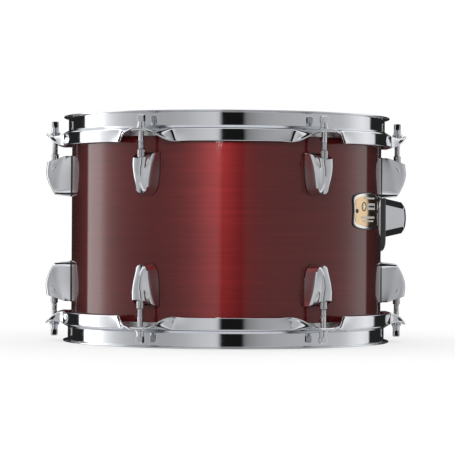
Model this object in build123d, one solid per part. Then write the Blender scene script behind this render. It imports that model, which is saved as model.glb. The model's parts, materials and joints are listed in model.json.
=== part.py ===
from build123d import *
from math import cos, degrees, hypot, pi, radians, sin, sqrt
import os

# A 12 x 8 inch rack tom: a birch shell with two heads, two flanged steel hoops, twelve lugs with
# tension rods, a badge, an air vent and a side mount for a holder rod. Millimetres.
# Z is the drum's axis, with the batter head on top. The origin is the centre of the ring on which
# the bottom hoop stands. Side pieces are drawn on +X above the mid-plane, then turned into place.

# ---- shell ----
SHELL_DIAMETER = 302.0
SHELL_DEPTH = 203.2
SHELL_WALL = 6.0
EDGE_ROUND = 1.5            # round-over outside the bearing edge
RIM_RISE = 7.4              # hoop lip above the bearing edge

# ---- sheet-steel hoops ----
HOOP_SHEET = 1.6
HOOP_CLEARANCE = 1.7        # shell to hoop wall
LIP_WIDTH = 5.5             # turned-out lip, from the wall's inner face
WALL_HEIGHT = 16.5          # lip to ledge
FLANGE_LENGTH = 12.6        # skirt between the ears, tongue at the ears
EAR_HALF = 5.5              # flat part of an ear, along the rim
EAR_BLEND = 28.0            # length over which a tongue folds down into the skirt
LUG_COUNT = 6               # per head

# ---- heads ----
FILM = 0.3
FILM_GAP = 0.05             # film to shell
RING_HEIGHT = 5.0           # aluminium ring that holds the film
RING_GAP = 0.3              # ring to ledge
RING_SIDE_GAP = 0.8         # ring to skirt
RING_GROOVE_HEIGHT = 1.0
RING_GROOVE_DEPTH = 2.2

# ---- tension rods ----
ROD_RADIUS = 2.75
ROD_CIRCLE_OFFSET = 16.5    # shell to rod axis
ROD_LENGTH = 44.7           # under the head
ROD_FLANGE_RADIUS = 4.9
ROD_FLANGE_HEIGHT = 6.0
ROD_FLANGE_TOP_RADIUS = 3.4
ROD_KEY_SIDE = 6.35
ROD_KEY_HEIGHT = 6.3
ROD_HOLE_CLEARANCE = 0.55   # rod to the hole in an ear
RUNNING_CLEARANCE = 0.05    # rod to its insert, pad to its bore
SEAT_GAP = 0.1              # rod flange to washer
WASHER_RADIUS = 4.8
WASHER_THICKNESS = 1.2

# ---- lugs ----
LUG_DROP = 31.1             # bearing edge to the top of a lug
LUG_HEIGHT = 39.6
LUG_NOSE_REACH = 24.2       # shell to the tip of the nose
LUG_BASE_HALF = 10.5
LUG_NOSE_HALF = 7.6
LUG_TOP_SLOPE = 1 / 3       # fall of the top face towards the nose
LUG_FLAT_TOP = 6.5          # level part of the top face, from the shell
GASKET = 1.2
INSERT_WALL = 0.75          # round the rod
INSERT_RISE = 5.3           # above the lug's top face
INSERT_LENGTH = 18.3
SCREW_RADIUS = 1.95
SCREW_HOLE_CLEARANCE = 0.3
SCREW_BITE = 9.0            # into the lug
SCREW_HEAD_RADIUS = 3.9
SCREW_HEAD_HEIGHT = 2.8
SCREW_WASHER_RADIUS = 6.0
SCREW_WASHER_THICKNESS = 1.0
LUG_SCREW_DROPS = (8.0, 26.0)   # below the top of the lug

# ---- side mount ----
MOUNT_ANGLE = 15.0          # round from the lugs on +X
MOUNT_HEIGHT = 12.5         # block centre above the mid-plane
PAD_WIDTH = 50.0
PAD_HEIGHT = 67.0
PAD_THICKNESS = 7.0         # at the middle of its flat face
BLOCK_WIDTH = 40.0
BLOCK_BASE_HEIGHT = 40.0
BLOCK_TIP_HEIGHT = 31.0
BLOCK_REACH = 24.0
BLOCK_CHAMFER = 7.0         # along the sloped top and bottom faces
BLOCK_END_CHAMFER = 3.0     # up the sides of the outer face
BLOCK_BULGE = 3.0           # how far the outer face bows out
BLOCK_ROUND = 0.8
SOCKET_RADIUS = 5.4
SOCKET_OUT = 12.5           # pad face to socket axis
SPOT_FACE_RADIUS = 8.0      # level seat round each mouth of the socket
MOUNT_SCREW_RADIUS = 2.45
MOUNT_SCREW_BITE = 7.0
MOUNT_SCREW_ACROSS = 26.0
MOUNT_SCREW_APART = 25.0
PLATE_WIDTH = 44.0
PLATE_HEIGHT = 52.0
PLATE_THICKNESS = 1.5
CLAMP_PAD_RADIUS = 3.9
CLAMP_PAD_LENGTH = 3.0
CLAMP_SCREW_RADIUS = 3.9
CLAMP_STEM = 22.0
WING_SPAN = 34.0
WING_THICKNESS = 5.0
WING_HUB_RADIUS = 6.5
WING_HUB_LENGTH = 9.0

# ---- badge and air vent ----
BADGE_ANGLE = -30.0
BADGE_WIDTH = 59.0
BADGE_HEIGHT = 36.0
BADGE_CENTRE = 18.0         # above the mid-plane
BADGE_THICKNESS = 1.2
BADGE_PIN_RADIUS = 1.3
BADGE_PIN_INSET = 7.3
VENT_ANGLE = 150.0
VENT_HOLE_RADIUS = 6.0
VENT_BORE_RADIUS = 4.0
VENT_FLANGE_RADIUS = 9.5
VENT_FLANGE = 1.6
VENT_CLEARANCE = 0.1

# ---- worked out ----
SHELL_R = SHELL_DIAMETER / 2
SHELL_INNER_R = SHELL_R - SHELL_WALL
EDGE_Z = SHELL_DEPTH / 2                      # bearing edge above the mid-plane
LIP_Z = EDGE_Z + RIM_RISE                     # top of the hoop's lip above the mid-plane
MID_Z = LIP_Z                                 # mid-plane above the origin
LEDGE_Z = LIP_Z - WALL_HEIGHT
WALL_R = SHELL_R + HOOP_CLEARANCE             # inner face of the hoop's wall
ROD_R = SHELL_R + ROD_CIRCLE_OFFSET
EAR_EDGE = EAR_HALF + EAR_BLEND
SKIRT_LINE_R = ROD_R - 7.8                    # middle of the skirt's sheet
LUG_TOP = EDGE_Z - LUG_DROP                     # above the mid-plane
LUG_BOTTOM = LUG_TOP - LUG_HEIGHT
LUG_SCREW_HEIGHTS = [LUG_TOP - drop for drop in LUG_SCREW_DROPS]
INSERT_RADIUS = ROD_RADIUS + INSERT_WALL
LUG_SEAT_R = SHELL_R + GASKET
LUG_SCREW_LENGTH = SHELL_WALL + GASKET + SCREW_BITE
PAD_FACE_R = SHELL_R + PAD_THICKNESS
SOCKET_R = PAD_FACE_R + SOCKET_OUT
LUG_ANGLES = [360 / LUG_COUNT * k for k in range(LUG_COUNT)]


def export(shape, name):
    """Write one node: a solid, or separate solids that share a name."""
    solids = shape if isinstance(shape, list) else [shape]
    parts = [solid for item in solids for solid in item.solids()]
    export_step(parts[0] if len(parts) == 1 else Compound(children=parts), f"parts/{name}.step")


def lift(shape):
    """A piece drawn above the mid-plane, at its real height on the batter side."""
    return Pos(0, 0, MID_Z) * shape


def placed(shape, side, angle=0.0):
    """The piece on the batter side, or turned over for the resonant side, at an angle round the drum."""
    turned = shape if side == "batter" else Rot(180, 0, 0) * shape
    return lift(Rot(0, 0, angle) * turned)


def ring(points):
    """The solid of a closed (radius, height) outline turned round the drum's axis."""
    return revolve(Face(Wire.make_polygon([Vector(r, 0, z) for r, z in points])), Axis.Z)


def radial_cylinder(radius, start, end, across=0.0, height=0.0):
    """A cylinder along the radius on +X, from one distance from the drum's axis to another."""
    return Pos(start, across, height) * Rot(0, 90, 0) * Cylinder(
        radius, end - start, align=(Align.CENTER, Align.CENTER, Align.MIN))


def upright(radius, low, high, distance=ROD_R):
    """A vertical cylinder at a distance from the drum's axis on +X."""
    return Pos(distance, 0, low) * Cylinder(
        radius, high - low, align=(Align.CENTER, Align.CENTER, Align.MIN))


def smooth(share):
    """0 to 1 with level ends."""
    x = min(1.0, max(0.0, share))
    return x * x * (3 - 2 * x)


# ---------------------------------------------------------------- shell

def shell_profile():
    """Wall outline: 45 degree bevels inside both ends, rounded over outside. Drawn about the mid-plane."""
    apex = SHELL_R - EDGE_ROUND
    bevel = apex - SHELL_INNER_R
    knee = EDGE_ROUND * (1 - sqrt(0.5))
    lines = []
    for way in (1, -1):
        top = way * EDGE_Z
        lines += [
            Line((SHELL_INNER_R, 0, 0), (SHELL_INNER_R, 0, top - way * bevel)),
            Line((SHELL_INNER_R, 0, top - way * bevel), (apex, 0, top)),
            ThreePointArc((apex, 0, top), (SHELL_R - knee, 0, top - way * knee),
                          (SHELL_R, 0, top - way * EDGE_ROUND)),
            Line((SHELL_R, 0, top - way * EDGE_ROUND), (SHELL_R, 0, 0)),
        ]
    return Face(Wire(lines))


def lug_screw_spots():
    """Angle and height of each lug screw about the mid-plane, on both sides."""
    return [(angle, way * height) for angle in LUG_ANGLES for way in (1, -1) for height in LUG_SCREW_HEIGHTS]


def mount_screw_spots():
    """Across and height of each mount screw about the mid-plane."""
    return [(a * MOUNT_SCREW_ACROSS / 2, MOUNT_HEIGHT + h * MOUNT_SCREW_APART / 2)
            for a in (1, -1) for h in (1, -1)]


def make_shell():
    body = revolve(shell_profile(), Axis.Z)
    start, end = SHELL_INNER_R - 5, SHELL_R + 5
    hole = SCREW_RADIUS + SCREW_HOLE_CLEARANCE
    drills = [Rot(0, 0, angle) * radial_cylinder(hole, start, end, 0, height)
              for angle, height in lug_screw_spots()]
    hole = MOUNT_SCREW_RADIUS + SCREW_HOLE_CLEARANCE
    drills += [Rot(0, 0, MOUNT_ANGLE) * radial_cylinder(hole, start, end, across, height)
               for across, height in mount_screw_spots()]
    drills.append(Rot(0, 0, VENT_ANGLE) * radial_cylinder(VENT_HOLE_RADIUS, start, end))
    drills += [Rot(0, 0, BADGE_ANGLE) * pin for pin in badge_pins(FILM_GAP)]
    return lift(body - drills)


# ---------------------------------------------------------------- heads

def make_film():
    """Flat film, rolled over the bearing edge, down the shell and out into the ring's groove."""
    apex = SHELL_R - EDGE_ROUND
    centre_z = EDGE_Z - EDGE_ROUND
    inner = EDGE_ROUND + FILM_GAP
    outer = inner + FILM
    half = sqrt(0.5)
    seat = LEDGE_Z - HOOP_SHEET - RING_GAP - RING_HEIGHT / 2
    fall_r = WALL_R - 0.6
    out_r = WALL_R + RING_GROOVE_DEPTH - 0.2
    face = Face(Wire([
        Line((0, 0, centre_z + inner), (apex, 0, centre_z + inner)),
        ThreePointArc((apex, 0, centre_z + inner), (apex + inner * half, 0, centre_z + inner * half),
                      (apex + inner, 0, centre_z)),
        Line((apex + inner, 0, centre_z), (fall_r - FILM, 0, LEDGE_Z)),
        Line((fall_r - FILM, 0, LEDGE_Z), (fall_r - FILM, 0, seat - FILM / 2)),
        Line((fall_r - FILM, 0, seat - FILM / 2), (out_r, 0, seat - FILM / 2)),
        Line((out_r, 0, seat - FILM / 2), (out_r, 0, seat + FILM / 2)),
        Line((out_r, 0, seat + FILM / 2), (fall_r, 0, seat + FILM / 2)),
        Line((fall_r, 0, seat + FILM / 2), (fall_r, 0, LEDGE_Z)),
        Line((fall_r, 0, LEDGE_Z), (apex + outer, 0, centre_z)),
        ThreePointArc((apex + outer, 0, centre_z), (apex + outer * half, 0, centre_z + outer * half),
                      (apex, 0, centre_z + outer)),
        Line((apex, 0, centre_z + outer), (0, 0, centre_z + outer)),
        Line((0, 0, centre_z + outer), (0, 0, centre_z + inner)),
    ]))
    return revolve(face, Axis.Z)


def make_flesh_ring():
    """Aluminium ring under the hoop's ledge, with an inward groove that grips the film."""
    inner = WALL_R + 0.1
    outer = SKIRT_LINE_R - HOOP_SHEET / 2 - RING_SIDE_GAP
    top = LEDGE_Z - HOOP_SHEET - RING_GAP
    middle = top - RING_HEIGHT / 2
    body = ring([(inner, top - RING_HEIGHT), (outer, top - RING_HEIGHT), (outer, top), (inner, top)])
    groove = ring([(inner - 1, middle - RING_GROOVE_HEIGHT / 2),
                   (inner + RING_GROOVE_DEPTH, middle - RING_GROOVE_HEIGHT / 2),
                   (inner + RING_GROOVE_DEPTH, middle + RING_GROOVE_HEIGHT / 2),
                   (inner - 1, middle + RING_GROOVE_HEIGHT / 2)])
    return body - groove


# ---------------------------------------------------------------- hoops

# Direction of each stretch of the flange, in degrees below level, with its share of the length.
SKIRT_TURNS = (60, 90, 90, 90, 90)
EAR_TURNS = (55, 0, 0, 0, -20)
TURN_SHARES = (0.12, 0.30, 0.24, 0.22, 0.12)
EAR_LENGTH_GAIN = 1.33      # a tongue is a little longer than the skirt is deep


def hoop_line(along):
    """Middle line of the hoop's sheet, as (radius, height), at a distance along the rim from an ear."""
    ear = smooth((EAR_EDGE - abs(along)) / EAR_BLEND)
    half = HOOP_SHEET / 2
    wall = WALL_R + half
    points = [(WALL_R + LIP_WIDTH, LIP_Z - half), (wall + 0.9, LIP_Z - half), (wall, LIP_Z - half - 0.9),
              (wall, LEDGE_Z - half + 0.5), (wall + 0.5, LEDGE_Z - half)]
    start = SKIRT_LINE_R - 0.9
    points.append((start, LEDGE_Z - half))
    length = FLANGE_LENGTH * (1 + (EAR_LENGTH_GAIN - 1) * ear)
    r, z = points[-1]
    for down, out, share in zip(SKIRT_TURNS, EAR_TURNS, TURN_SHARES):
        turn = radians(down + (out - down) * ear)
        r += length * share * cos(turn)
        z -= length * share * sin(turn)
        points.append((r, z))
    return points


def sheet_outline(line, thickness):
    """Closed outline of a sheet whose middle follows a line, with mitred corners."""
    left, right = [], []
    for i, (r, z) in enumerate(line):
        before = line[max(i - 1, 0)]
        after = line[min(i + 1, len(line) - 1)]
        units = []
        for (r0, z0), (r1, z1) in ((before, (r, z)), ((r, z), after)):
            size = hypot(r1 - r0, z1 - z0)
            if size > 0:
                units.append(((z0 - z1) / size, (r1 - r0) / size))
        nr = sum(u[0] for u in units) / len(units)
        nz = sum(u[1] for u in units) / len(units)
        mitre = thickness / 2 / (nr * nr + nz * nz)
        left.append((r + nr * mitre, z + nz * mitre))
        right.append((r - nr * mitre, z - nz * mitre))
    return left + right[::-1]


def hoop_section(along):
    """The hoop's cut face at a distance along the rim from the ear on +X."""
    outline = sheet_outline(hoop_line(along), HOOP_SHEET)
    face = Face(Wire.make_polygon([Vector(r, 0, z) for r, z in outline]))
    return Rot(0, 0, degrees(along / ROD_R)) * face


def make_hoop():
    """Six ears, each a level tongue between two lofted flanks, joined by plain arcs."""
    steps = [EAR_HALF + EAR_BLEND * share for share in (0, 0.2, 0.4, 0.6, 0.8, 1)]
    tongue = revolve(hoop_section(-EAR_HALF), Axis.Z, degrees(2 * EAR_HALF / ROD_R))
    tongue -= upright(ROD_RADIUS + ROD_HOLE_CLEARANCE, LEDGE_Z - 20, LEDGE_Z + 10)
    before = loft([hoop_section(-s) for s in steps[::-1]])
    after = loft([hoop_section(s) for s in steps])
    arc = revolve(hoop_section(EAR_EDGE), Axis.Z, 360 / LUG_COUNT - degrees(2 * EAR_EDGE / ROD_R))
    sector = before + tongue + after + arc
    whole = sector
    for angle in LUG_ANGLES[1:]:
        whole += Rot(0, 0, angle) * sector
    return whole


# The ear is level where the washer lies, one stretch below the ledge.
WASHER_Z = hoop_line(0)[6][1] + HOOP_SHEET / 2
ROD_SEAT_Z = WASHER_Z + WASHER_THICKNESS + SEAT_GAP


# ---------------------------------------------------------------- tension rods

def make_rod_washer():
    return (upright(WASHER_RADIUS, WASHER_Z, WASHER_Z + WASHER_THICKNESS)
            - upright(ROD_RADIUS + ROD_HOLE_CLEARANCE, WASHER_Z - 1, WASHER_Z + WASHER_THICKNESS + 1))


def make_tension_rod():
    """Stem, conical flange and square key head."""
    tip = 1.0
    low = ROD_SEAT_Z - ROD_LENGTH
    stem = upright(ROD_RADIUS, low + tip, ROD_SEAT_Z)
    point = Pos(ROD_R, 0, low + tip / 2) * Cone(ROD_RADIUS - tip, ROD_RADIUS, tip)
    rim = upright(ROD_FLANGE_RADIUS, ROD_SEAT_Z, ROD_SEAT_Z + 1.4)
    cone_height = ROD_FLANGE_HEIGHT - 1.4
    cone = Pos(ROD_R, 0, ROD_SEAT_Z + 1.4 + cone_height / 2) * Cone(
        ROD_FLANGE_RADIUS - 0.5, ROD_FLANGE_TOP_RADIUS, cone_height)
    key = Pos(ROD_R, 0, ROD_SEAT_Z + ROD_FLANGE_HEIGHT - 1.5) * Box(
        ROD_KEY_SIDE, ROD_KEY_SIDE, ROD_KEY_HEIGHT + 1.5, align=(Align.CENTER, Align.CENTER, Align.MIN))
    key = chamfer(key.edges().group_by(Axis.Z)[-1], 0.6)
    return stem + point + rim + cone + key


# ---------------------------------------------------------------- lugs

def lug_sizes(share):
    """Distances from the shell and half widths of the lug at a share of its height from the top.

    The base is a shield that rounds off below, the nose swells and falls back, and a ridge runs
    from the wide top corners down and out to the tip, with a valley between it and the nose.
    """
    low = max(0.0, (share - 0.3) / 0.7)
    base = LUG_BASE_HALF * sqrt(max(0.0, 1 - low ** 2.2))
    nose = LUG_NOSE_REACH * (1 - 0.33 * low ** 2)
    ridge_out = LUG_NOSE_REACH * (0.29 + 0.39 * (1 - (1 - share) ** 1.8))
    ridge_half = LUG_BASE_HALF * (0.99 - 0.57 * share) * sqrt(max(0.0, 1 - low ** 4))
    side_half = (LUG_NOSE_HALF - share) * sqrt(max(0.0, 1 - low ** 2.6))
    side_out = ridge_out + (0.55 - 0.25 * share) * (nose - ridge_out)
    dip = 1.5 * max(0.0, 1 - share / 0.35)
    valley_out = ridge_out + 0.62 * (side_out - ridge_out)
    valley_half = ridge_half + 0.62 * (side_half - ridge_half) - dip
    return base, ridge_out, ridge_half, valley_out, valley_half, side_out, side_half, nose


def lug_section(share):
    """Level cut through the lug, from inside the shell's surface to the nose."""
    base, ridge_out, ridge_half, valley_out, valley_half, side_out, side_half, nose = lug_sizes(share)
    z = LUG_TOP - share * LUG_HEIGHT
    sunk = SHELL_R - 3
    half = [(sunk, base), (SHELL_R + ridge_out, min(ridge_half, base)), (SHELL_R + valley_out, valley_half),
            (SHELL_R + side_out, side_half)]
    right = [Vector(r, v, z) for r, v in half]
    left = [Vector(r, -v, z) for r, v in half]
    edges = [Line(a, b) for a, b in zip(right, right[1:])]
    edges.append(ThreePointArc(right[-1], Vector(SHELL_R + nose, 0, z), left[-1]))
    edges += [Line(b, a) for a, b in zip(left[::-1], left[::-1][1:])]
    edges.append(Line(left[0], right[0]))
    return Face(Wire(edges))


def lug_top_at(distance):
    """Height of the lug's top face at a distance from the drum's axis."""
    return LUG_TOP - LUG_TOP_SLOPE * max(0.0, distance - SHELL_R - LUG_FLAT_TOP)


INSERT_TOP = lug_top_at(ROD_R) + INSERT_RISE


def make_lug():
    """Nosed body on a saddle face, bored for the insert and tapped for two screws."""
    shares = [0, 0.12, 0.24, 0.36, 0.5, 0.64, 0.76, 0.86, 0.93, 0.975]
    body = loft([lug_section(s) for s in shares], ruled=True)
    far = SHELL_R + LUG_NOSE_REACH + 10
    flat_end = SHELL_R + LUG_FLAT_TOP
    wedge = Face(Wire.make_polygon([
        Vector(flat_end, 0, LUG_TOP), Vector(far, 0, lug_top_at(far)), Vector(far, 0, LUG_TOP + 10),
        Vector(flat_end, 0, LUG_TOP + 10)]))
    body -= extrude(wedge, 30, both=True)
    body -= Pos(0, 0, LUG_TOP) * Cylinder(LUG_SEAT_R, 4 * LUG_HEIGHT)
    body -= upright(INSERT_RADIUS, INSERT_TOP - INSERT_LENGTH, LUG_TOP + 5)
    body -= upright(ROD_RADIUS + ROD_HOLE_CLEARANCE, ROD_SEAT_Z - ROD_LENGTH - 1.5, LUG_TOP + 5)
    for height in LUG_SCREW_HEIGHTS:
        body -= radial_cylinder(SCREW_RADIUS, SHELL_R, SHELL_R + GASKET + SCREW_BITE, 0, height)
    return body


def make_insert():
    """Threaded bush in the lug: a smooth bore stands for its thread."""
    return (upright(INSERT_RADIUS, INSERT_TOP - INSERT_LENGTH, INSERT_TOP)
            - upright(ROD_RADIUS + RUNNING_CLEARANCE, INSERT_TOP - INSERT_LENGTH - 1, INSERT_TOP + 1))


def make_lug_gasket():
    """Thin pad with the outline of the lug's base, between two cylinders round the drum's axis."""
    steps = [0, 0.15, 0.3, 0.45, 0.6, 0.72, 0.82, 0.9, 0.96, 0.99]
    right = [(lug_sizes(s)[0] + 0.3, LUG_TOP + 0.4 - s * (LUG_HEIGHT + 0.6)) for s in steps]
    outline = right + [(-v, z) for v, z in right[::-1]]
    face = Face(Wire.make_polygon([Vector(SHELL_R - 5, v, z) for v, z in outline]))
    slab = extrude(face, 10, dir=(1, 0, 0))
    slab &= Pos(0, 0, LUG_TOP) * Cylinder(LUG_SEAT_R, 4 * LUG_HEIGHT)
    slab -= Pos(0, 0, LUG_TOP) * Cylinder(SHELL_R, 4 * LUG_HEIGHT)
    hole = SCREW_RADIUS + SCREW_HOLE_CLEARANCE
    for height in LUG_SCREW_HEIGHTS:
        slab -= radial_cylinder(hole, SHELL_R - 5, SHELL_R + 5, 0, height)
    return slab


def washer_face(radius):
    """How far out a flat disc of a radius can lie inside the round shell."""
    return sqrt(SHELL_INNER_R ** 2 - radius ** 2)


def make_inside_screw(radius, head_radius, seat, end, across, height):
    """Pan-headed screw put in from inside the shell, with a driver slot."""
    shaft = radial_cylinder(radius, seat, end, across, height)
    head = radial_cylinder(head_radius, seat - SCREW_HEAD_HEIGHT, seat, across, height)
    head = fillet(head.edges().sort_by(Axis.X)[0], 1.0)
    slot = Pos(seat - SCREW_HEAD_HEIGHT, across, height) * Box(2.4, 1.0, 2 * head_radius + 1)
    return shaft + head - slot


def make_lug_screw(height):
    seat = washer_face(SCREW_WASHER_RADIUS) - SCREW_WASHER_THICKNESS
    return make_inside_screw(SCREW_RADIUS - 0.02, SCREW_HEAD_RADIUS, seat,
                             SHELL_INNER_R + LUG_SCREW_LENGTH - 0.5, 0, height)


def make_lug_screw_washer(height):
    face = washer_face(SCREW_WASHER_RADIUS)
    inner = face - SCREW_WASHER_THICKNESS
    return (radial_cylinder(SCREW_WASHER_RADIUS, inner, face, 0, height)
            - radial_cylinder(SCREW_RADIUS + SCREW_HOLE_CLEARANCE, inner - 1, face + 1, 0, height))


# ---------------------------------------------------------------- side mount

def block_outline():
    """Side view of the mount block: tapered above and below, with a bowed outer face."""
    base, tip = BLOCK_BASE_HEIGHT / 2, BLOCK_TIP_HEIGHT / 2
    near = PAD_FACE_R
    far = PAD_FACE_R + BLOCK_REACH - BLOCK_BULGE
    return Face(Wire([
        Line((near, 0, MOUNT_HEIGHT - base), (far, 0, MOUNT_HEIGHT - tip)),
        ThreePointArc((far, 0, MOUNT_HEIGHT - tip), (far + BLOCK_BULGE, 0, MOUNT_HEIGHT),
                      (far, 0, MOUNT_HEIGHT + tip)),
        Line((far, 0, MOUNT_HEIGHT + tip), (near, 0, MOUNT_HEIGHT + base)),
        Line((near, 0, MOUNT_HEIGHT + base), (near, 0, MOUNT_HEIGHT - base)),
    ]))


def clamp_line(radius, start, end):
    """A cylinder along the clamp screw's axis, which crosses the socket's, out towards +Y."""
    return Pos(SOCKET_R, start, MOUNT_HEIGHT) * Rot(-90, 0, 0) * Cylinder(
        radius, end - start, align=(Align.CENTER, Align.CENTER, Align.MIN))


def make_mount_block():
    """Chamfered block with an upright socket, a clamp screw bore and four tapped holes."""
    body = extrude(block_outline(), BLOCK_WIDTH / 2, both=True)
    sides = body.edges().filter_by(lambda e: abs(abs(e.center().Y) - BLOCK_WIDTH / 2) < 0.01)
    rails = sides.filter_by(lambda e: abs(e.center().Z - MOUNT_HEIGHT) > BLOCK_TIP_HEIGHT / 4)
    body = chamfer(rails, BLOCK_CHAMFER)
    ends = body.edges().filter_by(lambda e: e.length > 4 and e.center().X > PAD_FACE_R + BLOCK_REACH / 2
                                  and abs(abs(e.center().Y) - BLOCK_WIDTH / 2) < 0.01
                                  and abs(e.center().Z - MOUNT_HEIGHT) < BLOCK_TIP_HEIGHT / 4)
    body = chamfer(ends, BLOCK_END_CHAMFER)
    body = fillet(body.edges().filter_by(lambda e: e.center().X > PAD_FACE_R + 0.01), BLOCK_ROUND)
    body -= upright(SOCKET_RADIUS, MOUNT_HEIGHT - BLOCK_BASE_HEIGHT, MOUNT_HEIGHT + BLOCK_BASE_HEIGHT, SOCKET_R)
    for way in (1, -1):
        seat = Cylinder(SPOT_FACE_RADIUS, BLOCK_BASE_HEIGHT, align=(Align.CENTER, Align.CENTER, Align.MIN))
        body -= Pos(SOCKET_R, 0, MOUNT_HEIGHT) * Rot(90 - 90 * way, 0, 0) * Pos(0, 0, BLOCK_TIP_HEIGHT / 2) * seat
    body -= clamp_line(CLAMP_PAD_RADIUS + RUNNING_CLEARANCE, 0, BLOCK_WIDTH)
    for across, height in mount_screw_spots():
        body -= radial_cylinder(MOUNT_SCREW_RADIUS, PAD_FACE_R - 1, PAD_FACE_R + MOUNT_SCREW_BITE,
                                across, height)
    return body


def make_mount_pad():
    """Rubber isolator: flat under the block, hollowed to the shell."""
    body = Pos(PAD_FACE_R - 10, 0, MOUNT_HEIGHT) * Rot(0, 90, 0) * extrude(
        RectangleRounded(PAD_HEIGHT, PAD_WIDTH, 11), 10)
    body = fillet(body.faces().sort_by(Axis.X)[-1].edges(), 2.0)
    body -= Cylinder(SHELL_R, 4 * PAD_HEIGHT)
    for across, height in mount_screw_spots():
        body -= radial_cylinder(MOUNT_SCREW_RADIUS + SCREW_HOLE_CLEARANCE, SHELL_R - 9, PAD_FACE_R + 1,
                                across, height)
    return body


def make_mount_backing():
    """Curved steel plate inside the shell, under the mount's screw heads."""
    slab = Pos(SHELL_INNER_R - 8, 0, MOUNT_HEIGHT) * Rot(0, 90, 0) * extrude(
        RectangleRounded(PLATE_HEIGHT, PLATE_WIDTH, 6), 16)
    slab &= Cylinder(SHELL_INNER_R, 4 * PLATE_HEIGHT)
    slab -= Cylinder(SHELL_INNER_R - PLATE_THICKNESS, 4 * PLATE_HEIGHT)
    for across, height in mount_screw_spots():
        slab -= radial_cylinder(MOUNT_SCREW_RADIUS + SCREW_HOLE_CLEARANCE, SHELL_INNER_R - 9,
                                SHELL_INNER_R + 5, across, height)
    return slab


def make_mount_screw(across, height):
    """The seat is flat, so its head stops where the rim of the head meets the curved plate."""
    head = SCREW_HEAD_RADIUS + 0.6
    far_edge = abs(across) + head
    seat = sqrt((SHELL_INNER_R - PLATE_THICKNESS) ** 2 - far_edge ** 2)
    return make_inside_screw(MOUNT_SCREW_RADIUS - 0.02, head, seat,
                             PAD_FACE_R + MOUNT_SCREW_BITE - 0.5, across, height)


CLAMP_PAD_START = SOCKET_RADIUS + 0.2


def make_clamp_pad():
    """Nylon plug that the wing bolt pushes against the holder rod."""
    return clamp_line(CLAMP_PAD_RADIUS, CLAMP_PAD_START, CLAMP_PAD_START + CLAMP_PAD_LENGTH)


def make_wing_bolt():
    """Screw with a flat-sided wing for the fingers."""
    start = CLAMP_PAD_START + CLAMP_PAD_LENGTH + SEAT_GAP
    hub = start + CLAMP_STEM
    stem = clamp_line(CLAMP_SCREW_RADIUS, start, hub)
    boss = clamp_line(WING_HUB_RADIUS, hub, hub + WING_HUB_LENGTH)
    boss = chamfer(boss.edges().sort_by(Axis.Y)[-1], 1.0)
    wing = Pos(SOCKET_R, hub + WING_HUB_LENGTH / 2 + 2, MOUNT_HEIGHT) * Rot(0, 90, 0) * extrude(
        SlotOverall(WING_SPAN, WING_HUB_LENGTH + 2), WING_THICKNESS / 2, both=True)
    wing = fillet(wing.faces().group_by(Axis.X)[0].edges() + wing.faces().group_by(Axis.X)[-1].edges(), 1.2)
    return stem + boss + wing


# ---------------------------------------------------------------- badge and air vent

def badge_outline():
    """Plaque with bowed top and bottom and slightly waisted sides, flat, about its centre."""
    w, h = BADGE_WIDTH / 2, BADGE_HEIGHT / 2
    corner_w, corner_h = w * 0.98, h * 0.62
    waist = w * 0.95
    lines = []
    for way in (1, -1):
        lines.append(ThreePointArc((-way * corner_w, way * corner_h), (0, way * h),
                                   (way * corner_w, way * corner_h)))
        lines.append(ThreePointArc((way * corner_w, corner_h), (way * waist, 0), (way * corner_w, -corner_h)))
    return Face(Wire(lines))


def make_badge():
    """Metal plaque rolled to the shell: the outline cut from a thin cylinder wall."""
    face = Plane(origin=(SHELL_R - 12, 0, BADGE_CENTRE), x_dir=(0, 1, 0), z_dir=(1, 0, 0)) * badge_outline()
    slab = extrude(face, 24, dir=(1, 0, 0))
    slab &= Cylinder(SHELL_R + BADGE_THICKNESS, 4 * BADGE_HEIGHT)
    slab -= Cylinder(SHELL_R, 4 * BADGE_HEIGHT)
    return slab - badge_pins(FILM_GAP)


def badge_pins(gap=0.0):
    """Two small pins that hold the badge, widened by a gap when they are used to cut."""
    spread = degrees((BADGE_WIDTH / 2 - BADGE_PIN_INSET) / SHELL_R)
    pins = []
    for way in (1, -1):
        shaft = radial_cylinder(BADGE_PIN_RADIUS * 0.6 + gap, SHELL_R - 4, SHELL_R + BADGE_THICKNESS + 0.5)
        head = radial_cylinder(BADGE_PIN_RADIUS, SHELL_R + BADGE_THICKNESS + 0.02, SHELL_R + BADGE_THICKNESS + 0.7)
        pin = shaft if gap else shaft + head
        pins.append(Rot(0, 0, way * spread) * Pos(0, 0, BADGE_CENTRE) * pin)
    return pins


def make_vent():
    """Eyelet through the shell, with a flat flange outside."""
    tube_radius = VENT_HOLE_RADIUS - VENT_CLEARANCE
    tube = radial_cylinder(tube_radius, SHELL_INNER_R - 3, SHELL_R + VENT_FLANGE)
    flange = radial_cylinder(VENT_FLANGE_RADIUS, SHELL_R + 0.01, SHELL_R + VENT_FLANGE)
    flange = fillet(flange.edges().sort_by(Axis.X)[-1], 0.8)
    return tube + flange - radial_cylinder(VENT_BORE_RADIUS, SHELL_INNER_R - 9, SHELL_R + 9)


def make_vent_nut():
    """Round nut that draws the vent's flange down from inside."""
    face = washer_face(VENT_FLANGE_RADIUS)
    body = radial_cylinder(VENT_FLANGE_RADIUS, face - 2, face)
    return body - radial_cylinder(VENT_HOLE_RADIUS - VENT_CLEARANCE + 0.02, face - 9, face + 9)


# ---------------------------------------------------------------- nodes

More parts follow.
